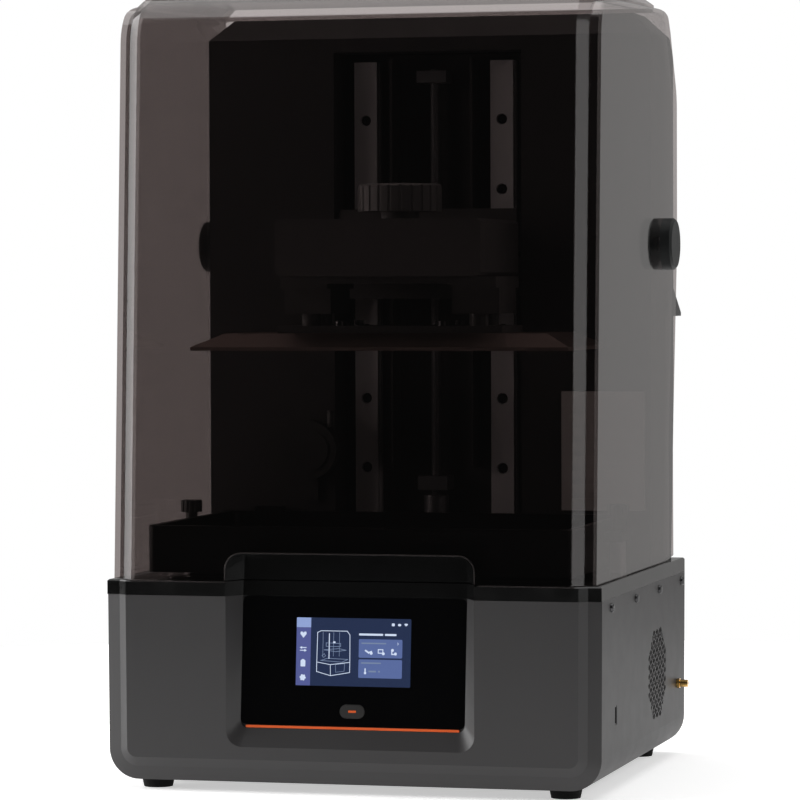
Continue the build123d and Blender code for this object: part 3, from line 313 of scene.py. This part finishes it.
def make_screen():
    """Generic start page: side bar with four icons, a line drawing of a printer and two cards."""
    bm = bmesh.new()
    slab(bm, rounded(0, 0, SCREEN_WIDTH, SCREEN_HEIGHT, 0.8), -0.3, BACK_LIFT)
    piece("screen_page", bm, SCREEN_BACK, "base")

    bm = bmesh.new()
    foot = SCREEN_HEIGHT - 0.1
    slab(bm, [(0.1, 8.0), (12.0, 8.0), (12.0, foot), (0.1, foot)], 0.0, CARD_LIFT)
    piece("screen_sidebar", bm, SCREEN_SIDE, "base")
    bm = bmesh.new()
    slab(bm, [(0.1, 0.1), (12.0, 0.1), (12.0, 7.9), (0.1, 7.9)], 0.0, CARD_LIFT)
    piece("screen_tile", bm, SCREEN_TILE, "base")
    bm = bmesh.new()
    for v0, v1 in ((16.5, 31.3), (32.6, 47.4)):
        slab(bm, rounded(52.0, v0, 88.0, v1, 1.0), 0.0, CARD_LIFT)
    piece("screen_cards", bm, SCREEN_CARD, "base")

    bm = bmesh.new()
    shapes = []
    middle = 5.8
    heart = [(middle, 16.4), (middle - 2.6, 13.2), (middle - 2.4, 11.6), (middle - 1.2, 11.2), (middle, 12.2),
             (middle + 1.2, 11.2), (middle + 2.4, 11.6), (middle + 2.6, 13.2)]
    shapes.append(heart)
    for v, side in ((24.1, 1), (26.3, -1)):
        shapes += stroke([(middle - 2.4, v), (middle + 2.4, v)], 0.7)
        tip = middle - side * 2.4
        shapes.append([(tip - side * 0.4, v), (tip + side * 1.4, v - 1.2), (tip + side * 1.4, v + 1.2)])
    shapes.append(rounded(middle - 2.0, 34.0, middle + 2.0, 39.2, 0.6))
    shapes.append(rounded(middle - 1.0, 33.3, middle + 1.0, 34.4, 0.3))
    gear = []
    for i in range(24):
        angle = 2 * math.pi * i / 24
        radius = 2.7 if i % 4 < 2 else 2.1
        gear.append((middle + radius * math.cos(angle), 47.9 + radius * math.sin(angle)))
    shapes.append(gear)
    shapes.append(rounded(79.0, 3.6, 81.4, 5.8, 0.4))
    shapes.append(disc(85.4, 4.8, 1.4, squash=0.7))
    shapes.append([(90.8, 5.9), (89.2, 4.2), (90.0, 3.6), (91.6, 3.6), (92.4, 4.2)])
    shapes.append(rounded(52.0, 12.0, 72.0, 13.6, 0.6))
    shapes.append(rounded(73.4, 12.0, 83.0, 13.6, 0.6))
    shapes += stroke([(83.9, 18.9), (84.8, 19.8), (83.9, 20.7)], 0.35)
    shapes += stroke([(57.8, 25.6), (60.2, 27.2), (62.4, 26.4)], 1.3)
    shapes.append(disc(62.4, 27.6, 1.2))
    shapes += stroke([(68.2, 24.6), (72.0, 24.6), (72.0, 27.4), (68.2, 27.4), (68.2, 24.6)], 0.7)
    shapes.append(disc(72.4, 27.8, 1.2))
    shapes += stroke([(79.4, 25.6), (79.4, 28.2), (81.6, 28.2)], 0.9)
    shapes.append(disc(79.9, 25.0, 1.2))
    shapes.append(disc(82.4, 27.8, 1.2))
    shapes.append(rounded(57.1, 39.6, 58.1, 43.2, 0.5))
    shapes.append(disc(57.6, 43.4, 1.0))
    outline = [(17.3, 35.4), (17.6, 11.8), (20.6, 10.4), (42.2, 10.4), (44.5, 13.4), (44.8, 35.4),
               (44.8, 43.3), (28.9, 46.1), (17.3, 43.0), (17.3, 35.4), (28.6, 37.3), (44.8, 35.2)]
    shapes += stroke(outline, 0.5)
    shapes += stroke([(28.6, 37.3), (28.9, 46.1)], 0.4)
    shapes += stroke([(27.4, 12.7), (27.4, 32.3)], 0.7)
    shapes.append(disc(31.6, 19.4, 1.1, squash=0.7))
    piece("screen_icons", drawn(bm, shapes, LINE_LIFT), SCREEN_LINE, "base")

    bm = bmesh.new()
    shapes = []
    shapes += stroke([(32.9, 37.2), (33.2, 43.3), (40.2, 42.3), (40.5, 36.2), (32.9, 37.2)], 0.35)
    for u in (22.2, 31.0, 35.9):
        shapes += stroke([(u, 11.5), (u, 30.4)], 0.35)
    shapes += stroke([(24.9, 20.0), (36.9, 20.3), (36.9, 22.8), (24.9, 22.8), (24.9, 20.0)], 0.45)
    shapes += stroke([(23.2, 25.6), (35.5, 24.4), (41.5, 25.6), (32.9, 26.9), (23.2, 25.6)], 0.45)
    shapes += stroke([(20.6, 34.1), (26.2, 32.3), (43.2, 32.9), (38.2, 35.2), (20.6, 34.1)], 0.45)
    shapes += stroke([(21.6, 30.2), (23.4, 28.6), (24.6, 30.4), (22.8, 31.6), (21.6, 30.2)], 0.4)
    shapes.append(rounded(54.1, 19.2, 74.7, 20.3, 0.4))
    shapes.append(rounded(54.1, 34.9, 70.6, 36.0, 0.4))
    shapes.append(rounded(60.4, 41.4, 66.6, 42.8, 0.4))
    shapes.append(rounded(68.4, 41.4, 70.0, 42.8, 0.4))
    piece("screen_drawing", drawn(bm, shapes, LINE_LIFT), SCREEN_DIM, "base")


def drawn(bm, shapes, lift):
    """Each shape as its own thin plate, every next one a hair higher so that none share a plane."""
    for i, shape in enumerate(shapes):
        slab(bm, shape, 0.02, lift + 0.0004 * i)
    return bm


def threaded_rod(name, centre, start, end, crest, root, pitch, starts, material, body, replaces=(),
                 segments=24, rows_per_pitch=6, chamfer=1.2):
    """An upright round bar with a helical thread cut in it; all in mm."""
    bm = bmesh.new()
    rows = int((end - start) / pitch * rows_per_pitch)
    rings = []
    for i in range(rows + 1):
        along = start + (end - start) * i / rows
        room = min(along - start, end - along) / chamfer
        ring = []
        for j in range(segments):
            turn = j / segments
            phase = (along / pitch - turn * starts) % 1.0
            ramp = min(1.0, max(0.0, 2.2 - abs(phase - 0.5) * 6.0))
            radius = root + (crest - root) * ramp * min(1.0, max(0.0, room))
            a, b = radius * math.cos(2 * math.pi * turn), radius * math.sin(2 * math.pi * turn)
            ring.append(bm.verts.new(at(centre[0] + a, centre[1] + b, along)))
        rings.append(ring)
    for low, high in zip(rings, rings[1:]):
        for j in range(segments):
            k = (j + 1) % segments
            bm.faces.new((low[j], low[k], high[k], high[j]))
    bm.faces.new(reversed(rings[0]))
    bm.faces.new(rings[-1])
    return piece(name, bm, material, body, replaces, smooth=True)


def clip(polygon, planes):
    """Cuts a polygon by half planes (a, b, c) that keep a u + b v <= c."""
    for a, b, c in planes:
        kept = []
        for i, here in enumerate(polygon):
            before = polygon[i - 1]
            d0, d1 = a * before[0] + b * before[1] - c, a * here[0] + b * here[1] - c
            if (d0 < 0) != (d1 < 0):
                share = d0 / (d0 - d1)
                kept.append((before[0] + (here[0] - before[0]) * share,
                             before[1] + (here[1] - before[1]) * share))
            if d1 <= 0:
                kept.append(here)
        polygon = kept
        if len(polygon) < 3:
            return []
    return polygon


def area_and_middle(polygon):
    area = cu = cv = 0.0
    for i, (u1, v1) in enumerate(polygon):
        u0, v0 = polygon[i - 1]
        cross = u0 * v1 - u1 * v0
        area += cross / 2
        cu += (u0 + u1) * cross / 6
        cv += (v0 + v1) * cross / 6
    return abs(area), (cu / area, cv / area) if abs(area) > 1e-9 else (0, 0)


GRID_PITCH, GRID_BAR = 7.8, 0.55         # triangle side and half bar width, mm
GRILLE_HALF, GRILLE_FACE = 37.9, 204.1   # half width across flats; distance of the face from the middle
GRILLE_DEPTH = 1.4
OPEN_SHARE = 0.45                        # a cut triangle with less of its area than this stays closed


def make_vents():
    """Octagonal grilles of triangular openings, one in each side of the base."""
    low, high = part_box("vent_guards")
    cy, cz = (low.y + high.y) / 2, (low.z + high.z) / 2
    turns = [math.radians(45 * i) for i in range(8)]
    octagon = [(math.cos(turn), math.sin(turn), GRILLE_HALF) for turn in turns]
    rise = GRID_PITCH * math.sqrt(3) / 2
    bm = bmesh.new()
    reach = int(GRILLE_HALF / GRID_PITCH) + 3
    flat = []
    for row in range(-reach - 2, reach + 2):
        for column in range(-2 * reach, 2 * reach):
            u, v = (column + 0.5 * row) * GRID_PITCH, row * rise
            up = [(u, v), (u + GRID_PITCH, v), (u + GRID_PITCH / 2, v + rise)]
            down = [(u + GRID_PITCH, v), (u + 1.5 * GRID_PITCH, v + rise), (u + GRID_PITCH / 2, v + rise)]
            for triangle in (up, down):
                cut = clip([(q, p) for p, q in triangle], octagon)
                if cut:
                    flat.append(cut)
    inradius = GRID_PITCH / (2 * math.sqrt(3))
    shrink = 1 - GRID_BAR / inradius
    for side in (-1, 1):
        face_x = side * GRILLE_FACE * MM
        inner_x = face_x - side * GRILLE_DEPTH * MM
        for cut in flat:
            area, middle = area_and_middle(cut)
            points = [(face_x, cy + p * MM, cz + q * MM) for p, q in cut]
            if area < OPEN_SHARE * GRID_PITCH * rise / 2:
                add_prism(bm, points, None, inner_x)
            else:
                hole = [(face_x, cy + (middle[0] + (p - middle[0]) * shrink) * MM,
                         cz + (middle[1] + (q - middle[1]) * shrink) * MM) for p, q in cut]
                add_prism(bm, points, hole, inner_x)
    piece("vent_grilles", bm, MATERIALS["housing_grey"], "base", ("vent_guards",))


def add_prism(bm, outline, hole, inner_x):
    """A plate between outline's plane and X = inner_x, with an optional hole of as many points."""
    def ring(points, x=None):
        return [bm.verts.new(p if x is None else (x, p[1], p[2])) for p in points]
    front, back = ring(outline), ring(outline, inner_x)
    count = len(outline)
    if hole is None:
        bm.faces.new(front)
        bm.faces.new(reversed(back))
        return
    hole_front, hole_back = ring(hole), ring(hole, inner_x)
    for i in range(count):
        j = (i + 1) % count
        bm.faces.new((front[i], front[j], hole_front[j], hole_front[i]))
        bm.faces.new((back[j], back[i], hole_back[i], hole_back[j]))
        bm.faces.new((hole_front[i], hole_front[j], hole_back[j], hole_back[i]))


SCREW_CREST, SCREW_ROOT, SCREW_PITCH, SCREW_STARTS = 4.1, 3.4, 2.0, 4     # mm, mm, mm, threads side by side


def make_thread():
    """The lead screw's four-start thread."""
    low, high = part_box("lead_screw")
    cx, cy = (low.x + high.x) / 2 / MM, (low.y + high.y) / 2 / MM + MIDDLE_Y
    threaded_rod("lead_screw_thread", (cx, cy), low.z / MM, high.z / MM, SCREW_CREST, SCREW_ROOT, SCREW_PITCH,
                 SCREW_STARTS, MATERIALS["bearing_steel"], "screw", ("lead_screw",))


MOUTH_HALF, MOUTH_TOP, MOUTH_RADIUS = 102.7, 192.6, 13.0    # display recess where it meets the hood's front
FLOOR_HALF, FLOOR_CORNER = 93.0, 6.0                        # and at the plane of the display
POCKET_FOOT = 170.9
HOOD_FOOT_Y, HOOD_SLOPE = -7.0, 0.0524                      # the hood's front at its foot, and its lean
LINER_GAPS = (0.6, 0.1)                                     # liner's inner and outer face, in from the recess
LINER_SET_BACK = 0.9                                        # liner's rim behind the hood's front
LIP_RADIUS, LIP_GROW, LIP_SET_BACK = 0.65, 0.5, 0.67


def arch(half, top, radius, foot, steps=8):
    """Points (x, z) up the left side, round two corners and down the right side."""
    points = [(-half, foot)]
    for i in range(steps + 1):
        angle = math.radians(180 - 90 * i / steps)
        points.append((-half + radius + radius * math.cos(angle), top - radius + radius * math.sin(angle)))
    return points + [(-x, z) for x, z in reversed(points)]


def hood_front(z):
    return HOOD_FOOT_Y + (z - POCKET_FOOT) * HOOD_SLOPE


def display_plane(z):
    return GLASS_FOOT_Y + (z - GLASS_FOOT_Z) * GLASS_SLOPE


def bead(name, path, radius, material, body, sides=10):
    """A thin round lip along a path of CAD points."""
    bm = bmesh.new()
    rings = []
    for i, point in enumerate(path):
        before, after = path[max(i - 1, 0)], path[min(i + 1, len(path) - 1)]
        along = (Vector(after) - Vector(before)).normalized()
        across = along.cross(Vector((0, 1, 0))).normalized()
        other = along.cross(across)
        ring = []
        for j in range(sides):
            turn = 2 * math.pi * j / sides
            spot = Vector(point) + (across * math.cos(turn) + other * math.sin(turn)) * radius
            ring.append(bm.verts.new(at(*spot)))
        rings.append(ring)
    for low, high in zip(rings, rings[1:]):
        for j in range(sides):
            k = (j + 1) % sides
            bm.faces.new((low[j], low[k], high[k], high[j]))
    bm.faces.new(reversed(rings[0]))
    bm.faces.new(rings[-1])
    return piece(name, bm, material, body, smooth=True)


def make_pocket():
    """Opaque liner of the display recess where it runs up into the hood, and the lip round its mouth."""
    bm = bmesh.new()
    loops = []
    for gap in LINER_GAPS:
        mouth = arch(MOUTH_HALF - gap, MOUTH_TOP - gap, MOUTH_RADIUS - gap, POCKET_FOOT)
        floor = arch(FLOOR_HALF - gap, MOUTH_TOP - gap, FLOOR_CORNER - gap, POCKET_FOOT)
        loops.append([bm.verts.new(at(x, hood_front(z) + LINER_SET_BACK, z)) for x, z in mouth])
        loops.append([bm.verts.new(at(x, display_plane(z) - gap, z)) for x, z in floor])
    mouth_in, floor_in, mouth_out, floor_out = loops
    for i in range(len(mouth_in) - 1):
        bm.faces.new((mouth_in[i], mouth_in[i + 1], floor_in[i + 1], floor_in[i]))
        bm.faces.new((mouth_out[i + 1], mouth_out[i], floor_out[i], floor_out[i + 1]))
        bm.faces.new((mouth_out[i], mouth_out[i + 1], mouth_in[i + 1], mouth_in[i]))
    bm.faces.new(floor_in)
    bm.faces.new(reversed(floor_out))
    for end in (0, -1):
        bm.faces.new((mouth_in[end], floor_in[end], floor_out[end], mouth_out[end]))
    bm.faces.new((floor_in[0], floor_in[-1], floor_out[-1], floor_out[0]))
    piece("pocket_liner", bm, MATERIALS["deck_black"], "hood")
    edge = arch(MOUTH_HALF + LIP_GROW, MOUTH_TOP + LIP_GROW, MOUTH_RADIUS + LIP_GROW, POCKET_FOOT)
    path = [(x, hood_front(z) + LIP_SET_BACK, z) for x, z in edge]
    bead("pocket_lip", path, LIP_RADIUS, LIP_GREY, "hood")


# ---------------------------------------------------------------- studio
LIGHT_TARGET = Vector((0.0, 0.0, 0.35))


def aim(obj, target):
    obj.rotation_mode = "QUATERNION"
    obj.rotation_quaternion = (target - obj.location).to_track_quat("-Z", "Y")


def soft_box(name, place, width, height, power):
    """A white rectangular lamp that faces the object's middle."""
    lamp = bpy.data.lights.new(name, "AREA")
    lamp.shape = "RECTANGLE"
    lamp.size = width
    lamp.size_y = height
    lamp.energy = power
    obj = bpy.data.objects.new(name, lamp)
    bpy.context.scene.collection.objects.link(obj)
    obj.location = place
    aim(obj, LIGHT_TARGET)


BRIGHT_SIDE = (0.30, 0.85, 0.25)         # towards the lighter part of the surroundings
DIM_LEVEL, BRIGHT_LEVEL = 0.03, 0.36


def make_world():
    """White behind the object for the camera; for all else dim in front and brighter behind and right."""
    world = bpy.data.worlds.new("studio")
    bpy.context.scene.world = world
    world.use_nodes = True
    nodes, links = world.node_tree.nodes, world.node_tree.links
    nodes.clear()
    out = nodes.new("ShaderNodeOutputWorld")
    direction = nodes.new("ShaderNodeTexCoord").outputs["Generated"]
    dot = nodes.new("ShaderNodeVectorMath")
    dot.operation = "DOT_PRODUCT"
    dot.inputs[1].default_value = BRIGHT_SIDE
    links.new(direction, dot.inputs[0])
    level = nodes.new("ShaderNodeMapRange")
    level.interpolation_type = "SMOOTHSTEP"
    level.inputs["From Min"].default_value = -0.55
    level.inputs["From Max"].default_value = 0.75
    level.inputs["To Min"].default_value = DIM_LEVEL
    level.inputs["To Max"].default_value = BRIGHT_LEVEL
    links.new(dot.outputs["Value"], level.inputs["Value"])
    lit = nodes.new("ShaderNodeBackground")
    links.new(level.outputs["Result"], lit.inputs["Strength"])
    lit.inputs["Color"].default_value = (1.0, 0.985, 0.975, 1.0)
    plain = nodes.new("ShaderNodeBackground")
    plain.inputs["Color"].default_value = (1.0, 1.0, 1.0, 1.0)
    plain.inputs["Strength"].default_value = 1.0
    path = nodes.new("ShaderNodeLightPath")
    blend = nodes.new("ShaderNodeMixShader")
    links.new(path.outputs["Is Camera Ray"], blend.inputs[0])
    links.new(lit.outputs[0], blend.inputs[1])
    links.new(plain.outputs[0], blend.inputs[2])
    links.new(blend.outputs[0], out.inputs["Surface"])


FLOOR_RADIUS = 1.15


def make_floor():
    bm = bmesh.new()
    bmesh.ops.create_circle(bm, cap_ends=True, segments=96, radius=FLOOR_RADIUS,
                            matrix=Matrix.Translation((0.0, 0.1, -0.0002)))
    mesh = bpy.data.meshes.new("floor")
    bm.to_mesh(mesh)
    bm.free()
    floor = bpy.data.objects.new("floor", mesh)
    bpy.context.scene.collection.objects.link(floor)
    mat = surface("floor_paper", (0.93, 0.93, 0.93), 0.8, vary=0.004, grain_height=0.0,
                  emission=WHITE, strength=0.50)
    mesh.materials.append(mat)


CAMERA_PLACE = Vector((0.8482, -3.2767, 0.4053))
CAMERA_HEADING = Vector((-0.2532, 0.9674, 0.0))
CAMERA_DIP = math.atan(0.02793)      # looks down by this much
CAMERA_ROLL = 0.0035
CAMERA_LENS = 180.5                  # mm on a 36 mm sensor


def make_camera():
    camera = bpy.data.objects.new("camera", bpy.data.cameras.new("camera"))
    bpy.context.scene.collection.objects.link(camera)
    forward = CAMERA_HEADING.normalized() * math.cos(CAMERA_DIP) - Vector((0, 0, math.sin(CAMERA_DIP)))
    right = forward.cross(Vector((0, 0, 1))).normalized()
    up = right.cross(forward)
    tilted_up = up * math.cos(CAMERA_ROLL) + right * math.sin(CAMERA_ROLL)
    tilted_right = forward.cross(tilted_up)
    turn = Matrix((tilted_right, tilted_up, -forward)).transposed()
    camera.matrix_world = Matrix.Translation(CAMERA_PLACE) @ turn.to_4x4()
    camera.data.lens = CAMERA_LENS
    camera.data.sensor_width = 36.0
    camera.data.clip_start = 0.1
    camera.data.clip_end = 60.0
    bpy.context.scene.camera = camera


def make_lights():
    """A main light from the left, its rim behind it, two weak ones from the right and one from above."""
    soft_box("key_left", Vector((-2.35, -1.00, 0.95)), 1.7, 2.0, 64)
    soft_box("rim_left", Vector((-2.35, 0.45, 1.0)), 1.5, 2.0, 26)
    soft_box("rim_right", Vector((2.2, 1.5, 1.1)), 1.0, 1.8, 14)
    soft_box("fill_right", Vector((2.3, -1.2, 1.0)), 1.2, 2.2, 10)
    soft_box("overhead", Vector((0.0, 0.1, 2.6)), 2.6, 2.2, 36)


dress_frame()
make_screen()
make_vents()
make_thread()
make_pocket()
make_world()
make_floor()
make_lights()
make_camera()
scene = bpy.context.scene
scene.view_settings.view_transform = "Standard"
scene.view_settings.look = "None"
